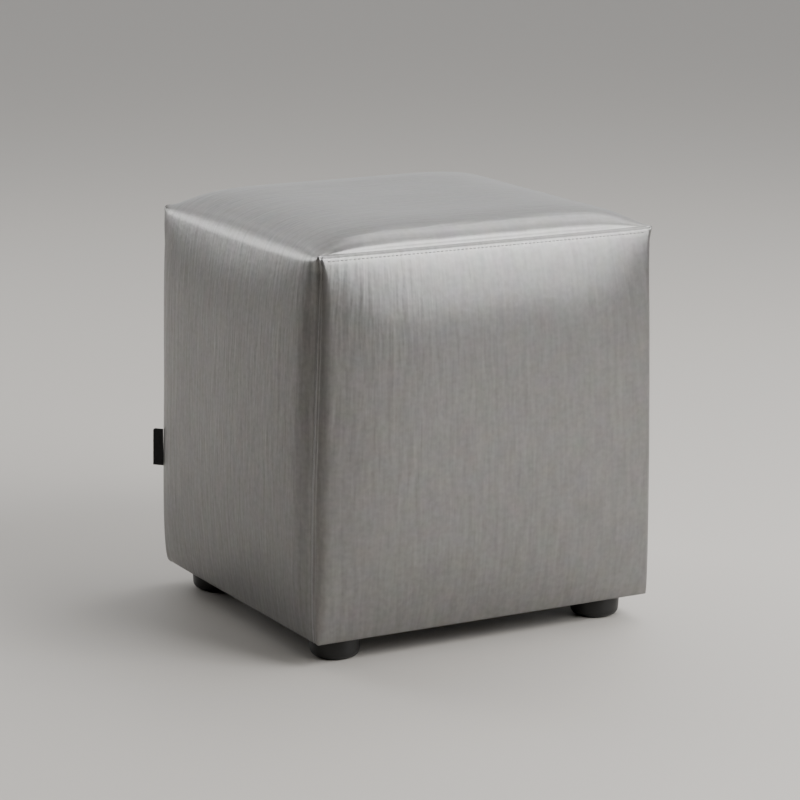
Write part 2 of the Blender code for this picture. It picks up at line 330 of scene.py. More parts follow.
def face_outwards(piece, merge_within=None):
    """Points nearer than merge_within become one, which closes seams and poles; then faces turn out."""
    shape = bmesh.new()
    shape.from_mesh(piece.data)
    if merge_within is not None:
        bmesh.ops.remove_doubles(shape, verts=shape.verts, dist=merge_within)
    bmesh.ops.recalc_face_normals(shape, faces=shape.faces)
    shape.to_mesh(piece.data)
    shape.free()
    piece.data.shade_smooth()


# %% [markdown]
# ## Settling the cloth
#
# The rule gives even curves, and real filling is never quite even. So a coarse copy of each cover
# piece is drawn in a little, its seams, hem and hidden faces are pinned, and Blender's cloth blows it
# up again without gravity. Its moves are written as a sum of sine waves over the flat piece. Every
# wave is zero along the border, so the seams stay in place, and the sum can be read at any point of
# the fine mesh. The longest waves are the plain swelling, which the rule already has, and are left
# out. The shorter ones stay at about a third of their height, because this cover is sewn tight.

# %% Values of the coarse copy and its cloth
COARSE = 46
COARSE_CLOSENESS = 0.3
DRAWN_IN = 0.0015
DRAWN_IN_PROFILE = (6.0, 1.0)
FRAMES = 20
LARGEST_MOVE = 0.004
PINNED = "pinned"

# A light cloth that hardly stretches, bends easily and is blown up from the inside.
CLOTH_BEHAVIOUR = {
    "quality": 5,
    "mass": 0.3,
    "tension_stiffness": 80.0,
    "compression_stiffness": 80.0,
    "shear_stiffness": 20.0,
    "bending_stiffness": 0.5,
    "use_pressure": True,
    "uniform_pressure_force": 4.0,
    "vertex_group_mass": PINNED,
}

# Waves along and across the flat piece: all that are fitted, and the long ones that are left out.
WAVES = (22, 12)
SWELLING_WAVES = (9, 6)
KEPT_SHARE = 0.3
BORDER_FADE = 0.4


# %% Helpers for a mesh's points
def read_vectors(vertices, what):
    """Places or normals of a mesh's points, as rows of three."""
    values = np.empty(len(vertices) * 3, dtype=np.float32)
    vertices.foreach_get(what, values)
    return values.reshape(-1, 3).astype(float)


def press(piece, depth):
    """Each point goes against its normal by its own depth."""
    vertices = piece.data.vertices
    places = read_vectors(vertices, "co") - read_vectors(vertices, "normal") * depth[:, None]
    vertices.foreach_set("co", places.astype(np.float32).ravel())
    piece.data.update()


def sine_waves(along, across):
    """sin(k pi (along + 1) / 2) sin(m pi (across + 1) / 2) for every k and m: 0 round the border."""
    first = np.sin(np.arange(1, WAVES[0] + 1) * math.pi / 2 * (along[:, None] + 1))
    second = np.sin(np.arange(1, WAVES[1] + 1) * math.pi / 2 * (across[:, None] + 1))
    return (first[:, :, None] * second[:, None, :]).reshape(len(along), -1)


# %% Cloth under pressure
def blown_up_places(copy, free):
    """Places of the copy's points after the cloth has run, with every point that isn't free pinned."""
    pinned = copy.vertex_groups.new(name=PINNED)
    pinned.add(np.flatnonzero(~free).tolist(), 1.0, "REPLACE")
    cloth = copy.modifiers.new("pressure", "CLOTH")
    for setting, value in CLOTH_BEHAVIOUR.items():
        setattr(cloth.settings, setting, value)
    cloth.settings.effector_weights.gravity = 0.0
    cloth.collision_settings.use_collision = False
    cloth.point_cache.frame_end = FRAMES
    for number in range(1, FRAMES + 1):
        bpy.context.scene.frame_set(number)
    blown_up = copy.evaluated_get(bpy.context.evaluated_depsgraph_get())
    places = read_vectors(blown_up.data.vertices, "co")
    bpy.context.scene.frame_set(1)
    return places


def settled_waves(name, counts, points_of, flat_of, free_of):
    """Coarse copy, drawn in and blown up: the wave heights that fit how far its free points moved.

    No move is longer than the largest one: length becomes largest * tanh(length / largest).
    """
    u, v, t, quads, _ = sliced_block(counts, COARSE_CLOSENESS)
    goal = points_of(u, v, t)
    free = free_of(u, v, t)
    copy = mesh_from(name, goal, quads)
    along, across = flat_of(u, v, t)
    drawn_in = DRAWN_IN * free * fullness(along, DRAWN_IN_PROFILE) * fullness(across, DRAWN_IN_PROFILE)
    press(copy, drawn_in)
    moves = (blown_up_places(copy, free) - goal)[free]
    bpy.data.objects.remove(copy)
    length = np.linalg.norm(moves, axis=-1, keepdims=True)
    moves *= LARGEST_MOVE * np.tanh(length / LARGEST_MOVE) / np.maximum(length, 1e-9)
    waves = sine_waves(along[free], across[free])
    heights = np.linalg.lstsq(waves, moves, rcond=None)[0].reshape(*WAVES, 3)
    heights[: SWELLING_WAVES[0], : SWELLING_WAVES[1]] = 0.0
    heights = KEPT_SHARE * heights.reshape(-1, 3)
    kept = np.linalg.norm(waves @ heights, axis=-1)
    print(f"{name}: moved {1000 * length.mean():.2f} mm on average, {1000 * length.max():.2f} mm at most")
    print(f"{name}: kept {1000 * kept.mean():.2f} mm on average, {1000 * kept.max():.2f} mm at most")
    return heights


def settle(name, counts, points_of, flat_of, free_of):
    """A function that adds the settled moves to points of the same piece."""
    heights = settled_waves(name, counts, points_of, flat_of, free_of)

    def add_moves(u, v, t, points):
        free = free_of(u, v, t)
        along, across = (value[free] for value in flat_of(u, v, t))
        fade = smooth_step((1 - np.abs(along)) / BORDER_FADE)
        fade *= smooth_step((1 - np.abs(across)) / BORDER_FADE)
        points[free] += fade[:, None] * (sine_waves(along, across) @ heights)
        return points

    return add_moves


# %% [markdown]
# ## Seams
#
# At a seam both pieces turn inwards and leave a fine dark line. The depth of every such line is a
# bell curve of the distance to the seam. Beside the top seam of a panel lies the channel that the
# topstitching pulls in, and beside its upright seams lies the edge of the cloth that is turned
# under. Along its top a panel curls back to the strip, so that no ledge shows. At the hem the cover
# is folded under the body. A bump could draw such lines, but it would leave the mesh smooth, so the
# points themselves are pressed in.

# %% Pressed lines
SEAM_DEPTH = 0.00035
SEAM_WIDTH = 0.0010
CHANNEL_DEPTH = 0.0001
CHANNEL_WIDTH = 0.0016
STITCH_BELOW_SEAM = 0.0055
TURNED_DEPTH = 0.0006
TURNED_WIDTH = 0.0012
TURNED_FROM_SEAM = 0.0045
TOP_CURL = 0.0013
TOP_CURL_WIDTH = 0.0018
PANEL_EDGE = 0.0002
HEM_DEPTH = 0.0008
HEM_WIDTH = 0.0012


def bell(distance, width):
    """exp(-(distance / width) ** 2)"""
    return np.exp(-((distance / width) ** 2))


# %% [markdown]
# ## The long strip
#
# On the real pouf this is one piece of cloth, so its weave runs on over both folds. The straight box
# gives each point of its block, the rule fills it out, and the flat cloth's own coordinates are the
# distance along the strip and the distance across it.

# %% The long strip
def panel_depth(x_share, height_share, seam, swell):
    """Depth of an end panel into the box: the seam's distance plus a soft swell in the middle."""
    middle = fullness(x_share, SWELL_PROFILE) * fullness(2 * height_share - 1, SWELL_PROFILE)
    return seam_column(seam, height_share, ROUND_CORNER) + swell * middle


def strip_points(u, v, t):
    """Block shares (-1 to 1) to the pouf: x from u, y between the two panels, z from t."""
    height_share = (t + 1) / 2
    front_end = -HALF_DEPTH + panel_depth(u, height_share, FRONT_SEAM, FRONT_PANEL_SWELL) + PIECE_GAP
    back_end = HALF_DEPTH - panel_depth(u, height_share, BACK_SEAM, BACK_PANEL_SWELL) - PIECE_GAP
    y = front_end + (back_end - front_end) * (v + 1) / 2
    return on_the_pouf(u * HALF_WIDTH, y, FLOOR_GAP + height_share * BODY_HEIGHT, v)


def block_uv(u, v, t, quads, faces, kind):
    """Flat cloth coordinates of each quad corner, in metres: across the weave, then along it.

    Faces 0 and 1 are the left and right sides, 2 and 3 the front and back, 4 and 5 the hem and top.
    """
    across_y = v[quads] * HALF_DEPTH
    along_x = u[quads] * HALF_WIDTH
    along_z = (t[quads] + 1) / 2 * BODY_HEIGHT
    seat_start = BODY_HEIGHT + HALF_WIDTH
    face = faces[:, None]
    if kind == "strip":
        sideways = np.where(face // 2 == 1, along_x, across_y)
        lengthways = np.select(
            [face == 0, face == 1, face // 2 == 1],
            [along_z, 2 * seat_start - along_z, along_z],
            seat_start + along_x,
        )
    else:
        sideways = np.where(face // 2 == 0, across_y, along_x)
        lengthways = np.where(face // 2 == 2, across_y, along_z)
    return np.stack((sideways, lengthways), axis=-1)


def strip_flat(u, v, t):
    """Shares along the flat strip, up the left side, over the seat and down the right, and across."""
    side = BODY_HEIGHT * (t + 1) / 2
    whole = 2 * BODY_HEIGHT + FRONT_WIDTH
    along = np.select([u == -1, u == 1], [side, whole - side], BODY_HEIGHT + HALF_WIDTH * (u + 1))
    return 2 * along / whole - 1, v


def strip_on_show(u, v, t):
    """Points of the left side, the seat and the right side, without the seams and the hem."""
    return ((np.abs(u) == 1) | (t == 1)) & (np.abs(v) < 1) & (t > -1)


# %% The long strip's mesh
STRIP_COUNTS = (100, 90, 100)
COVER_CLOSENESS = 0.85


def make_strip(name):
    """The strip with the filling behind it, as one closed block."""
    u, v, t, quads, faces = sliced_block(STRIP_COUNTS, COVER_CLOSENESS)
    add_moves = settle(
        "strip_copy", (COARSE, COARSE, COARSE), strip_points, strip_flat, strip_on_show
    )
    points = add_moves(u, v, t, strip_points(u, v, t))
    strip = mesh_from(name, points, quads, block_uv(u, v, t, quads, faces, "strip"))
    from_seam = (1 - np.abs(v)) * HALF_DEPTH
    from_hem = (1 + t) / 2 * BODY_HEIGHT
    on_show = (np.abs(u) == 1) | (t == 1)
    depth = SEAM_DEPTH * bell(from_seam, SEAM_WIDTH) + HEM_DEPTH * bell(from_hem, HEM_WIDTH)
    press(strip, on_show * depth)
    return strip


long_strip = make_strip("long_strip")

# %% [markdown]
# ## The end panels
#
# The front panel is wider than the front: it wraps round both corners, and its seams lie in a deep
# groove on the sides. So its outer grid follows the path round the corner, while its inner grid,
# which nobody sees, lies against the strip's filling.

# %% The end panels
def panel_points(u, v, t, side, seam, swell):
    """Outer grid: along the path round both corners. Inner grid: the plane against the filling."""
    height_share = (t + 1) / 2
    outer = v * side > 0
    along = u * (HALF_WIDTH + seam_column(seam, height_share, ROUND_CORNER) - SEAM_LIP)
    past_corner = np.clip(np.abs(along) - HALF_WIDTH, 0.0, None)
    inner_depth = panel_depth(u, height_share, seam, swell)
    curled = past_corner + TOP_CURL * bell((1 - height_share) * BODY_HEIGHT, TOP_CURL_WIDTH)
    depth = np.where(outer, np.minimum(curled, inner_depth - PANEL_EDGE), inner_depth)
    x = np.where(outer, np.clip(along, -HALF_WIDTH, HALF_WIDTH), u * HALF_WIDTH)
    z = FLOOR_GAP + height_share * BODY_HEIGHT
    return on_the_pouf(x, side * (HALF_DEPTH - depth), z, np.ones_like(x))


# %% The end panels' meshes
PANEL_COUNTS = (150, 2, 140)


def make_panel(name, side, seam, swell):
    """A padded end panel; side is -1 for the front and 1 for the back."""
    u, v, t, quads, faces = sliced_block(PANEL_COUNTS, COVER_CLOSENESS)
    add_moves = settle(
        f"{name}_copy",
        (COARSE, 2, COARSE),
        lambda u, v, t: panel_points(u, v, t, side, seam, swell),
        lambda u, v, t: (u, t),
        lambda u, v, t: (v == side) & (np.abs(u) < 1) & (np.abs(t) < 1),
    )
    points = add_moves(u, v, t, panel_points(u, v, t, side, seam, swell))
    panel = mesh_from(name, points, quads, block_uv(u, v, t, quads, faces, "panel"))
    from_top = (1 - t) / 2 * BODY_HEIGHT
    from_side = (1 - np.abs(u)) * HALF_WIDTH
    from_hem = (1 + t) / 2 * BODY_HEIGHT
    depth = (
        SEAM_DEPTH * bell(np.minimum(from_top, from_side), SEAM_WIDTH)
        + CHANNEL_DEPTH * bell(from_top - STITCH_BELOW_SEAM, CHANNEL_WIDTH)
        + TURNED_DEPTH * bell(from_side - TURNED_FROM_SEAM, TURNED_WIDTH)
        + HEM_DEPTH * bell(from_hem, HEM_WIDTH)
    )
    press(panel, depth * (v == side))
    return panel


front_cover = make_panel("front_cover", -1, FRONT_SEAM, FRONT_PANEL_SWELL)
back_cover = make_panel("back_cover", 1, BACK_SEAM, BACK_PANEL_SWELL)

# %% [markdown]
# ## The feet
#
# Each foot is a moulded plastic cup with a soft lower edge, so it is an outline turned about an
# upright axis. Spin or Screw could turn a drawn outline. Here the outline is a few straight runs and
# a quarter circle, and outline times circle is a single array.

# %% The feet's outline
FOOT_RADIUS_TOP = 0.0272
FOOT_RADIUS_BELOW = 0.0264
FOOT_EDGE_RADIUS = 0.008
FOOT_EDGE_STEPS = 13
FOOT_TOP = 0.0233
FOOT_BEVEL = 0.0012
FOOT_BEVEL_INWARD = 0.0004
FOOT_BEVEL_DROP = 0.0003
FOOT_FLAT_RING = 0.97
FOOT_TURNS = 96


def foot_outline():
    """Radius and height from the top's middle down the wall, round the edge to the flat underside."""
    turn = np.linspace(0.0, math.pi / 2, FOOT_EDGE_STEPS)
    flat = FOOT_RADIUS_BELOW - FOOT_EDGE_RADIUS
    radius = np.concatenate((
        [0.0, FOOT_RADIUS_TOP - FOOT_BEVEL, FOOT_RADIUS_TOP - FOOT_BEVEL_INWARD, FOOT_RADIUS_TOP],
        flat + FOOT_EDGE_RADIUS * np.cos(turn),
        [flat * FOOT_FLAT_RING, 0.0],
    ))
    height = np.concatenate((
        [FOOT_TOP, FOOT_TOP, FOOT_TOP - FOOT_BEVEL_DROP, FOOT_TOP - FOOT_BEVEL],
        FOOT_EDGE_RADIUS * (1 - np.sin(turn)),
        [0.0, 0.0],
    ))
    return radius, height


def turned(radius, height, centre_x, centre_y):
    """Outline times circle: x = r cos a, y = r sin a. The poles are welded afterwards."""
    angle = np.linspace(0.0, 2 * math.pi, FOOT_TURNS, endpoint=False)
    points = np.stack(
        (
            centre_x + radius[:, None] * np.cos(angle),
            centre_y + radius[:, None] * np.sin(angle),
            np.repeat(height[:, None], FOOT_TURNS, axis=1),
        ),
        axis=-1,
    )
    number = np.arange(points.shape[0] * FOOT_TURNS).reshape(-1, FOOT_TURNS)
    after = np.roll(number, -1, axis=1)
    quads = np.stack((number[:-1], number[1:], after[1:], after[:-1]), axis=-1).reshape(-1, 4)
    return points.reshape(-1, 3), quads


# %% The four feet
FOOT_INSET = 0.039
FOOT_MERGE = 1e-6


def make_foot(name, centre_x, centre_y):
    """The outline turned about the foot's own middle, with both poles closed."""
    radius, height = foot_outline()
    points, quads = turned(radius, height, centre_x, centre_y)
    foot = mesh_from(name, points, quads)
    face_outwards(foot, FOOT_MERGE)
    return foot


feet = {}
for depth_name, y_side in (("front", -1), ("back", 1)):
    for side_name, x_side in (("left", -1), ("right", 1)):
        corner = f"{depth_name}_{side_name}"
        feet[corner] = make_foot(
            f"cup_foot_{corner}", x_side * (HALF_WIDTH - FOOT_INSET), y_side * (HALF_DEPTH - FOOT_INSET)
        )

# %% [markdown]
# ## The folded tape
#
# A short piece of woven tape is folded double, and its two cut ends are caught in the back left seam.
# Seen from above it is a narrow loop: two arms that part a little on their way out, and a half circle
# at the fold. The tape's thickness is laid on both sides of that path, and the path is carried
# upwards. It stands out a little further at its foot, and its upper outer corner is rounded. A flat
# plane with a Solidify modifier could be bent the same way, but a block is closed from the start.

# %% The path of the folded tape
TAPE_HEIGHT = 0.042
TAPE_MIDDLE_HEIGHT = 0.158
TAPE_REACH = 0.0122
TAPE_THICKNESS = 0.0005
TAPE_ROOT_GAP = 0.0001
TAPE_LOOP_RADIUS = 0.0006


def tape_path(share, reach):
    """Path from one root round the fold (share 0) to the other root (share -1 and 1), seen from above.

    The half circle takes the length pi r / 2 on each side, and the arms take the rest.
    """
    straight = reach - TAPE_LOOP_RADIUS
    quarter = TAPE_LOOP_RADIUS * math.pi / 2
    from_fold = np.abs(share) * (straight + quarter)
    angle = np.clip(from_fold / TAPE_LOOP_RADIUS, 0.0, math.pi / 2)
    outward = straight - np.clip(from_fold - quarter, 0.0, None) + TAPE_LOOP_RADIUS * np.cos(angle)
    parting = smooth_step(outward / np.maximum(straight, 1e-6))
    root = TAPE_ROOT_GAP + TAPE_THICKNESS / 2
    apart = root + (TAPE_LOOP_RADIUS - root) * parting
    return outward, np.sign(share) * np.where(from_fold < quarter, TAPE_LOOP_RADIUS * np.sin(angle), apart)


# %% The folded tape
TAPE_COUNTS = (72, 3, 40)
EVEN = 0.0
TAPE_FLARE = 0.0006
TAPE_CORNER = 0.0022
TAPE_STEP = 1e-3
TAPE_SEAT = 0.0006
TAPE_TURN = math.radians(180.0 - 48.0)   # 180 degrees is straight left, turned 48 towards the back


def make_tape(name):
    """Path plus thickness times the path's sideways direction, carried up the tape's height."""
    u, v, t, quads, _ = sliced_block(TAPE_COUNTS, EVEN)
    below_top = (1 - t) / 2 * TAPE_HEIGHT
    short = np.clip(TAPE_CORNER - below_top, 0.0, None)
    rounding = TAPE_CORNER - np.sqrt(np.clip(TAPE_CORNER**2 - short**2, 0.0, None))
    reach = TAPE_REACH - TAPE_FLARE * (1 + t) / 2 - rounding
    out_here, side_here = tape_path(u, reach)
    out_before, side_before = tape_path(u - TAPE_STEP, reach)
    out_after, side_after = tape_path(u + TAPE_STEP, reach)
    ahead = np.stack((out_after - out_before, side_after - side_before), axis=-1)
    ahead /= np.maximum(np.linalg.norm(ahead, axis=-1, keepdims=True), 1e-12)
    out_here = out_here - ahead[:, 1] * v * TAPE_THICKNESS / 2
    side_here = side_here + ahead[:, 0] * v * TAPE_THICKNESS / 2
    tape_share = (TAPE_MIDDLE_HEIGHT - FLOOR_GAP) / BODY_HEIGHT
    root_depth = HALF_DEPTH - seam_column(BACK_SEAM, tape_share, ROUND_CORNER)
    root = fill_out(
        np.full(1, -HALF_WIDTH), np.full(1, root_depth), np.full(1, TAPE_MIDDLE_HEIGHT), np.ones(1)
    )[0]
    out_here = out_here + TAPE_SEAT
    points = np.stack(
        (
            root[0] + out_here * math.cos(TAPE_TURN) - side_here * math.sin(TAPE_TURN),
            root[1] + out_here * math.sin(TAPE_TURN) + side_here * math.cos(TAPE_TURN),
            TAPE_MIDDLE_HEIGHT + t * TAPE_HEIGHT / 2,
        ),
        axis=-1,
    )
    flat = np.stack((u[quads] * (TAPE_REACH + TAPE_LOOP_RADIUS), t[quads] * TAPE_HEIGHT / 2), axis=-1)
    tape = mesh_from(name, points, quads, flat)
    face_outwards(tape)
    return tape


folded_tape = make_tape("folded_tape")

# %% [markdown]
# ## The base cloth
#
# A thin black cloth closes the underside and hides the filling. It is stretched flat and fastened
# under the body, so it is a sheet with rounded corners that sags by less than a millimetre. A flat
# box with bevelled corners couldn't sag. Here each ring of a square grid is moved onto a smaller
# rounded outline of the same kind.

# %% The base cloth
BASE_COUNTS = (80, 74, 2)
BASE_CLOSENESS = 0.5
BASE_INSET = 0.014
BASE_THICKNESS = 0.0015
BASE_CORNER = 0.020
BASE_SAG = 0.0004


def rounded_rectangle(u, v, half_width, half_depth, corner):
    """Square share to rounded rectangle: where both sides are within the corner's square, the point
    goes to the same ring of the quarter circle."""
    x, y = u * half_width, v * half_depth
    along, over = round_corner(
        np.abs(x) - (half_width - corner), np.abs(y) - (half_depth - corner), np.full_like(x, corner)
    )
    return np.sign(x) * (half_width - corner + along), np.sign(y) * (half_depth - corner + over)


def make_base_cloth(name):
    """Flat sheet, lowered in its middle by the sag times (1 - u^2)(1 - v^2)."""
    u, v, t, quads, _ = sliced_block(BASE_COUNTS, BASE_CLOSENESS)
    x, y = rounded_rectangle(u, v, HALF_WIDTH - BASE_INSET, HALF_DEPTH - BASE_INSET, BASE_CORNER)
    top = FLOOR_GAP - PIECE_GAP
    sag = BASE_SAG * (1 - u**2) * (1 - v**2)
    z = top - BASE_THICKNESS * (1 - t) / 2 - sag
    return mesh_from(name, np.stack((x, y, z), axis=-1), quads, np.stack((x[quads], y[quads]), axis=-1))


under_cloth = make_base_cloth("under_cloth")

# %% [markdown]
# ## The topstitching
#
# A row of stitches runs just under the upper seam of each end panel and holds the turned edge down.
# Each stitch is a short piece of thread that comes up out of the cloth, lies on it and goes back in.
# All stitches of a row are one mesh, worked out at once: the places along the row are one axis of the
# array, the places along a stitch are the second, and the ring round the thread is the third. One
# stitch copied by an Array modifier would stay straight, while this row follows the bulging cloth.

# %% The centre line of the stitches
STITCH_PITCH = 0.0048
STITCH_LENGTH = 0.0036
STITCH_STEPS = 9
STITCH_ROW_END = 0.012
SLOPE_STEP = 1e-4
SLOPE_STEP_UP = 4e-4


def stitch_lines(side, seam, swell, along):
    """Places on the panel just below its upper seam, with the thread's own directions at each.

    Outward = slope along the row times slope up the panel, and across = outward times ahead.
    """
    height = 1 - 2 * STITCH_BELOW_SEAM / BODY_HEIGHT
    path = HALF_WIDTH + seam_column(seam, (height + 1) / 2, ROUND_CORNER) - SEAM_LIP

    def on_panel(x, t):
        return panel_points(x / path, np.full_like(x, side), np.full_like(x, t), side, seam, swell)

    half_row = HALF_WIDTH - STITCH_ROW_END
    middles = np.arange(-half_row, half_row, STITCH_PITCH)
    x = middles[:, None] + along[None, :] * STITCH_LENGTH / 2
    centre = on_panel(x, height)
    ahead = on_panel(x + SLOPE_STEP, height) - on_panel(x - SLOPE_STEP, height)
    upward = on_panel(x, height + SLOPE_STEP_UP) - centre
    ahead /= np.linalg.norm(ahead, axis=-1, keepdims=True)
    outward = np.cross(ahead, upward) * -side
    outward /= np.linalg.norm(outward, axis=-1, keepdims=True)
    return centre, outward, np.cross(outward, ahead)


# %% The topstitching
THREAD_RADIUS = 0.0004
THREAD_SIDES = 8
THREAD_RISE = 0.55
THREAD_DIP = 1.9
THREAD_DIP_POWER = 4
THREAD_END_POWER = 8
THREAD_MERGE = 1e-7


def row_of_stitches(name, side, seam, swell):
    """A ring carried along each stitch, s from -1 at one end of the stitch to 1 at the other.

    The centre is rise - dip * s^4 thread radii proud of the cloth, less the channel's depth. The
    ring's radius is the thread's times the root of 1 - s^8, so both ends close in a point.
    """
    along = np.linspace(-1.0, 1.0, STITCH_STEPS)
    centre, outward, across = stitch_lines(side, seam, swell, along)
    lift = (THREAD_RISE - THREAD_DIP * along**THREAD_DIP_POWER) * THREAD_RADIUS - CHANNEL_DEPTH
    centre = centre + outward * lift[None, :, None]
    angle = np.linspace(0.0, 2 * math.pi, THREAD_SIDES, endpoint=False)
    thickness = np.sqrt(np.clip(1 - along**THREAD_END_POWER, 0.0, 1.0)) * THREAD_RADIUS
    ring = across[:, :, None] * np.cos(angle)[:, None] + outward[:, :, None] * np.sin(angle)[:, None]
    points = centre[:, :, None] + thickness[None, :, None, None] * ring
    number = np.arange(points[..., 0].size).reshape(points.shape[:3])
    after = np.roll(number, -1, axis=2)
    quads = np.stack(
        (number[:, :-1], after[:, :-1], after[:, 1:], number[:, 1:]), axis=-1
    ).reshape(-1, 4)
    row = mesh_from(name, points.reshape(-1, 3), quads)
    face_outwards(row, THREAD_MERGE)
    print(f"{name}: {len(points)} stitches")
    return row


front_stitches = row_of_stitches("front_stitches", -1, FRONT_SEAM, FRONT_PANEL_SWELL)
back_stitches = row_of_stitches("back_stitches", 1, BACK_SEAM, BACK_PANEL_SWELL)

# %% [markdown]
# ## How the materials are put together
#
# A material is a tree of nodes that ends in a shader. It can be drawn in the Shader Editor. Here
# small helpers add a node with its values and links, so each tree reads like a recipe.

# %% Node helpers
def connect(node, inputs):
    """Fills a node's inputs: another node's output is linked, and any other value is written in."""
    for key, value in inputs.items():
        if isinstance(value, bpy.types.NodeSocket):
            node.id_data.links.new(value, node.inputs[key])
        else:
            node.inputs[key].default_value = value


def add_node(tree, kind, inputs=None, **settings):
    """A new node of the kind, such as "TexNoise", with its settings and its inputs."""
    node = tree.nodes.new("ShaderNode" + kind)
    for key, value in settings.items():
        setattr(node, key, value)
    connect(node, inputs or {})
    return node


def calculate(tree, operation, *values):
    """The result of one Math node on numbers or other nodes' results."""
    return add_node(tree, "Math", dict(enumerate(values)), operation=operation).outputs[0]


def noise(tree, place, per_metre, detail, **inputs):
    """Noise with about so many grains in a metre."""
    return add_node(tree, "TexNoise", {"Vector": place, "Scale": per_metre, "Detail": detail, **inputs})


def new_material(name):
    """A material, its node tree and its shader."""
    material = bpy.data.materials.new(name)
    material.use_nodes = True
    return material, material.node_tree, material.node_tree.nodes["Principled BSDF"]


# %% [markdown]
# ## The metallic cloth
#
# The real cloth has a dull metallic coating over a plain weave. Up close it shows streaks where the
# yarn is thicker, a fine grain, and slubs across it. An image would repeat and bring its own light.
# So each of the three is a noise stretched to the size of its grains on the flat cloth, and it both
# lifts the surface and changes the tone. A faint coloured noise stands for the coating's mixed hues.

# %% Metallic cloth
CLOTH_COLOUR = (0.22, 0.216, 0.211)
CLOTH_METALLIC = 0.75
CLOTH_ROUGHNESS = 0.34
CLOTH_DETAIL = 1.0
CLOTH_NOISE_ROUGHNESS = 0.5
RELIEF_DEPTH = 0.0010
HUE = 0.12
HUES_PER_METRE = 45.0
HUE_DETAIL = 3.0

# Columns: size across and along the cloth in metres, seed, share of the relief, share of the tone.
CLOTH_LAYERS = (
    (0.0052, 0.045, 3.1, 0.40, 0.30),
    (0.0050, 0.0056, 8.7, 0.10, 0.26),
    (0.0160, 0.0050, 5.3, 0.02, 0.08),
)


def cloth_relief_and_tone(tree, place):
    """Relief = sum of noise * relief share. Tone = 1 + sum of (noise - 0.5) * tone share."""
    relief, tone = 0.0, 1.0
    for across, along, seed, relief_share, tone_share in CLOTH_LAYERS:
        grains = {"Vector": place, "Scale": (1 / across, 1 / along, 1.0), "Location": (seed,) * 3}
        scaled = add_node(tree, "Mapping", grains).outputs["Vector"]
        layer = noise(tree, scaled, 1.0, CLOTH_DETAIL, Roughness=CLOTH_NOISE_ROUGHNESS).outputs["Fac"]
        relief = calculate(tree, "MULTIPLY_ADD", layer, relief_share, relief)
        tone = calculate(tree, "MULTIPLY_ADD", calculate(tree, "SUBTRACT", layer, 0.5), tone_share, tone)
    return relief, tone


def make_cloth():
    """Colour = cloth colour * tone * (1 + hue * (coloured noise - 0.5)), with the relief as a bump."""
    material, tree, shader = new_material("metallic_cloth_woven")
    place = add_node(tree, "UVMap", uv_map="cloth").outputs["UV"]
    relief, tone = cloth_relief_and_tone(tree, place)
    height = add_node(tree, "Bump", {"Strength": 1.0, "Distance": RELIEF_DEPTH, "Height": relief})
    hue = noise(tree, place, HUES_PER_METRE, HUE_DETAIL).outputs["Color"]
    tinted = add_node(
        tree, "VectorMath", {0: hue, 1: (HUE,) * 3, 2: (1 - HUE / 2,) * 3}, operation="MULTIPLY_ADD"
    ).outputs["Vector"]
    toned = add_node(tree, "VectorMath", {0: tinted, "Scale": tone}, operation="SCALE").outputs["Vector"]
    colour = add_node(tree, "VectorMath", {0: toned, 1: CLOTH_COLOUR}, operation="MULTIPLY")
    connect(shader, {
        "Base Color": colour.outputs["Vector"],
        "Normal": height.outputs["Normal"],
        "Metallic": CLOTH_METALLIC,
        "Roughness": CLOTH_ROUGHNESS,
    })
    print(f"{material.name}: {len(tree.nodes)} nodes")
    return material


metallic_cloth = make_cloth()

# %% [markdown]
# ## The feet's plastic
#
# Moulded black plastic has a very fine, even grain, so its shine is soft, and a plain glossy black
# would look wet. One small noise makes the roughness wander and lifts the surface a little.

# %% Foot plastic
PLASTIC_COLOUR = (0.008, 0.008, 0.008, 1.0)
PLASTIC_ROUGHNESS = (0.32, 0.5)
PLASTIC_GRAINS_PER_METRE = 900.0
PLASTIC_DETAIL = 3.0
PLASTIC_RELIEF = 0.0001
PLASTIC_RELIEF_STRENGTH = 0.15


def make_plastic():
    """Roughness = a straight line from the lowest to the highest value over the grain's noise."""
    material, tree, shader = new_material("black_plastic")
    place = add_node(tree, "TexCoord").outputs["Object"]
    grain = noise(tree, place, PLASTIC_GRAINS_PER_METRE, PLASTIC_DETAIL).outputs["Fac"]
    smooth, rough = PLASTIC_ROUGHNESS
    wandering = add_node(tree, "MapRange", {"Value": grain, "To Min": smooth, "To Max": rough})
    lift = {"Strength": PLASTIC_RELIEF_STRENGTH, "Distance": PLASTIC_RELIEF, "Height": grain}
    connect(shader, {
        "Base Color": PLASTIC_COLOUR,
        "Roughness": wandering.outputs[0],
        "Normal": add_node(tree, "Bump", lift).outputs["Normal"],
    })
    print(f"{material.name}: {len(tree.nodes)} nodes")
    return material


black_plastic = make_plastic()

# %% [markdown]
# ## The tape, the base cloth and the thread
#
# These are made of matt yarn. Its threads could be modelled one by one, but they are thinner than a
# pixel. So one weave serves all three: a wave across the cloth times a wave along it gives the small
# squares of a plain weave, and a noise keeps them from being too even. The tape and the base cloth
# follow their own flat map. A stitch has none, and reads the piece's own coordinates.

# %% Plain weave
WEAVE_SPOTS_PER_METRE = 300.0
WEAVE_DETAIL = 4.0
WEAVE_RELIEF_STRENGTH = 0.8
WEAVE_TONE = {"From Min": -0.6, "From Max": 1.6, "To Min": 0.6, "To Max": 1.4}


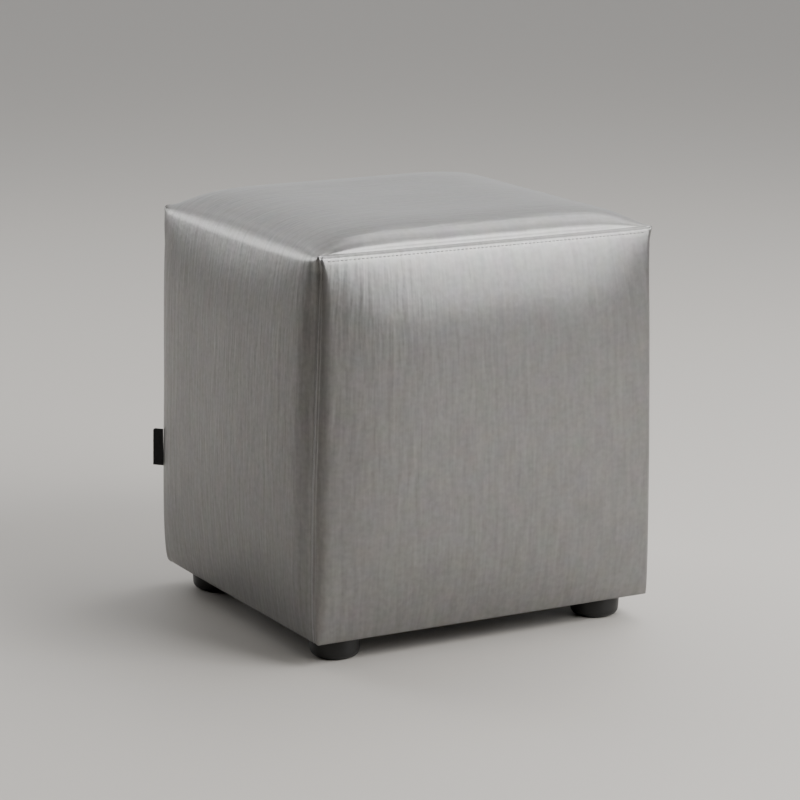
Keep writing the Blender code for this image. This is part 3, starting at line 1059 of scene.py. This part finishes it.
def make_weave(name, colour, yarn, roughness, relief, on_flat_cloth=True):
    """Height = sin(2 pi x / yarn across) sin(2 pi y / yarn along) + noise; the tone follows it."""
    material, tree, shader = new_material(name)
    if on_flat_cloth:
        place = add_node(tree, "UVMap", uv_map="cloth").outputs["UV"]
    else:
        place = add_node(tree, "TexCoord").outputs["Object"]
    parts = add_node(tree, "SeparateXYZ", {"Vector": place}).outputs
    waves = [
        calculate(tree, "SINE", calculate(tree, "MULTIPLY", parts[axis], 2 * math.pi / size))
        for axis, size in zip("XY", yarn)
    ]
    spots = noise(tree, place, WEAVE_SPOTS_PER_METRE, WEAVE_DETAIL).outputs["Fac"]
    height = calculate(tree, "ADD", calculate(tree, "MULTIPLY", *waves), spots)
    lift = {"Strength": WEAVE_RELIEF_STRENGTH, "Distance": relief, "Height": height}
    tone = add_node(tree, "MapRange", {"Value": height, **WEAVE_TONE}).outputs[0]
    tinted = add_node(tree, "VectorMath", {0: colour, "Scale": tone}, operation="SCALE")
    connect(shader, {
        "Base Color": tinted.outputs["Vector"],
        "Roughness": roughness,
        "Normal": add_node(tree, "Bump", lift).outputs["Normal"],
    })
    print(f"{name}: {len(tree.nodes)} nodes")
    return material


# %% Tape, base cloth and thread
black_tape = make_weave(
    "black_tape", (0.010, 0.010, 0.011), yarn=(0.0006, 0.0009), roughness=0.62, relief=0.0001
)
black_base = make_weave(
    "black_base_cloth", (0.014, 0.014, 0.014), yarn=(0.0012, 0.0012), roughness=0.9, relief=0.0002
)
grey_thread = make_weave(
    "grey_thread", (0.20, 0.195, 0.19), yarn=(0.0007, 0.0007), roughness=0.5, relief=0.00008,
    on_flat_cloth=False,
)

# %% [markdown]
# ## Dressing the frame
#
# Each new piece gets its material and rides on the CAD model's one body. Where it stands for a CAD
# solid it replaces that solid, which is hidden.

# %% Dress the pieces
# Columns: piece, the CAD node that it replaces, finish slot, material.
DRESSED = (
    (long_strip, "seat_strip", "metallic_cloth", metallic_cloth),
    (front_cover, "front_panel", "metallic_cloth", metallic_cloth),
    (back_cover, "back_panel", "metallic_cloth", metallic_cloth),
    *((foot, f"foot_{corner}", "foot_plastic", black_plastic) for corner, foot in feet.items()),
    (folded_tape, "side_label", "label_tape", black_tape),
    (under_cloth, "base_cloth", "underside_cloth", black_base),
)
for piece, node, slot, material in DRESSED:
    piece.data.materials.append(material)
    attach(piece, "root")
    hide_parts(node)

for row in (front_stitches, back_stitches):
    row.data.materials.append(grey_thread)
    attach(row, "root")

# %% [markdown]
# ## The studio floor
#
# The pouf stands on a plain pale floor. One large square is enough. It is no part of the object, and
# it is not mirror-like, so the shadow under the pouf stays soft.

# %% Floor
FLOOR_REACH = 14
FLOOR_COLOUR = (0.60, 0.57, 0.53, 1.0)
FLOOR_ROUGHNESS = 0.6

floor_mesh = bpy.data.meshes.new("floor")
floor_corners = [(x * FLOOR_REACH, y * FLOOR_REACH, 0) for x, y in ((-1, -1), (1, -1), (1, 1), (-1, 1))]
floor_mesh.from_pydata(floor_corners, [], [(0, 1, 2, 3)])
floor = bpy.data.objects.new("floor", floor_mesh)
bpy.context.scene.collection.objects.link(floor)
floor_material, _, floor_shader = new_material("pale_floor")
connect(floor_shader, {"Base Color": FLOOR_COLOUR, "Roughness": FLOOR_ROUGHNESS})
floor_mesh.materials.append(floor_material)

# %% [markdown]
# ## The backdrop
#
# A metallic cloth shows what it mirrors, so half of its look is the room. Here the wall behind the
# pouf is bright and the rest is dark. A white panel could be built for it. A world needs no object:
# its strength is a soft step of the cosine of the angle from the backdrop's middle.

# %% World
BACKDROP = 1.17
BACKDROP_AHEAD = (0.35, 0.82, 0.45)   # behind the pouf and above it, where the seat and folds mirror
BACKDROP_EDGE = (0.35, 0.85)          # dark where the cosine is below the first, full above the second

world = bpy.data.worlds.new("studio")
bpy.context.scene.world = world
world.use_nodes = True
sky = world.node_tree
direction = add_node(sky, "TexCoord").outputs["Generated"]
ahead = {0: direction, 1: tuple(Vector(BACKDROP_AHEAD).normalized())}
cosine = add_node(sky, "VectorMath", ahead, operation="DOT_PRODUCT").outputs["Value"]
step = {"Value": cosine, "From Min": BACKDROP_EDGE[0], "From Max": BACKDROP_EDGE[1], "To Max": BACKDROP}
fade = add_node(sky, "MapRange", step, interpolation_type="SMOOTHSTEP")
connect(sky.nodes["Background"], {"Color": (1.0, 1.0, 1.0, 1.0), "Strength": fade.outputs["Result"]})

# %% [markdown]
# ## The soft lights
#
# Wide lamps give soft light, as a photographer's cloth boxes do. The two at the back left are
# mirrored by the left side and its fold, and the three at the front right, one above the other, by
# the front panel. The other two fill what lies between. One big lamp would be simpler, but then its
# light couldn't be set for each height on its own.

# %% Lights
# Columns: name, place, width, height, watts. Each faces the pouf's middle, just under the seat.
LAMPS_FACE = Vector((0.0, 0.0, 0.4))
SOFT_LIGHTS = (
    ("back_left_low", (-1.46, 2.53, 1.00), 1.2, 1.0, 17.5),
    ("back_left_high", (-0.84, 2.07, 2.31), 1.4, 1.0, 4.6),
    ("right_high", (1.65, 0.29, 2.79), 2.4, 1.6, 40.1),
    ("front_right_low", (1.66, -2.65, 0.97), 1.6, 0.7, 14.5),
    ("front_right_mid", (1.35, -2.34, 1.62), 1.4, 0.8, 25.6),
    ("front_right_high", (1.11, -1.93, 2.31), 1.6, 1.1, 55.0),
    ("right_front", (2.32, -1.45, 1.52), 1.2, 1.0, 24.0),
)
for light_name, place, width, height, watts in SOFT_LIGHTS:
    panel = bpy.data.lights.new(light_name, "AREA")
    panel.shape = "RECTANGLE"
    panel.size = width
    panel.size_y = height
    panel.energy = watts
    lamp = bpy.data.objects.new(light_name, panel)
    bpy.context.scene.collection.objects.link(lamp)
    lamp.location = place
    lamp.rotation_euler = (LAMPS_FACE - Vector(place)).to_track_quat("-Z", "Y").to_euler()
    print(f"{light_name}: {(LAMPS_FACE - Vector(place)).length:.2f} m away, {watts} W")

# %% [markdown]
# ## The camera
#
# The view is from the front left and somewhat above, with a long lens from well back. A camera can be
# moved by eye until it fits. Here its angles, focal length and place were fitted to the corners of
# the cover, and three directions at right angles turn them into one matrix.

# %% Camera
FOCAL_PIXELS = 3060.0
IMAGE_PIXELS = 800.0
SENSOR = 36.0
CAMERA_AZIMUTH = -29.057
CAMERA_ELEVATION = 12.834
CAMERA_ROLL = 0.287

# From the body's middle to the camera, in body heights: away, to its own right and to its own top.
CAMERA_AWAY = 8.2523
CAMERA_RIGHT = -0.0103
CAMERA_UP = -0.0033

azimuth = math.radians(CAMERA_AZIMUTH)
elevation = math.radians(CAMERA_ELEVATION)
roll = math.radians(CAMERA_ROLL)
back = np.array([
    math.sin(azimuth) * math.cos(elevation),
    -math.cos(azimuth) * math.cos(elevation),
    math.sin(elevation),
])
right = np.array([math.cos(azimuth), math.sin(azimuth), 0.0])
up = np.cross(back, right)
rolled_right = math.cos(roll) * right + math.sin(roll) * up
rolled_up = -math.sin(roll) * right + math.cos(roll) * up
body_middle = np.array([0.0, 0.0, FLOOR_GAP + BODY_HEIGHT / 2])
from_middle = CAMERA_AWAY * back + CAMERA_RIGHT * rolled_right + CAMERA_UP * rolled_up
eye = body_middle + BODY_HEIGHT * from_middle

camera_data = bpy.data.cameras.new("camera")
camera = bpy.data.objects.new("camera", camera_data)
bpy.context.scene.collection.objects.link(camera)
camera_data.sensor_width = SENSOR
camera_data.lens = FOCAL_PIXELS / IMAGE_PIXELS * SENSOR
placed = np.eye(4)
placed[:3] = np.stack((rolled_right, rolled_up, back, eye), axis=-1)
camera.matrix_world = Matrix(placed.tolist())
bpy.context.scene.camera = camera
print(f"camera: {BODY_HEIGHT * CAMERA_AWAY:.2f} m away, lens {camera_data.lens:.1f} mm")
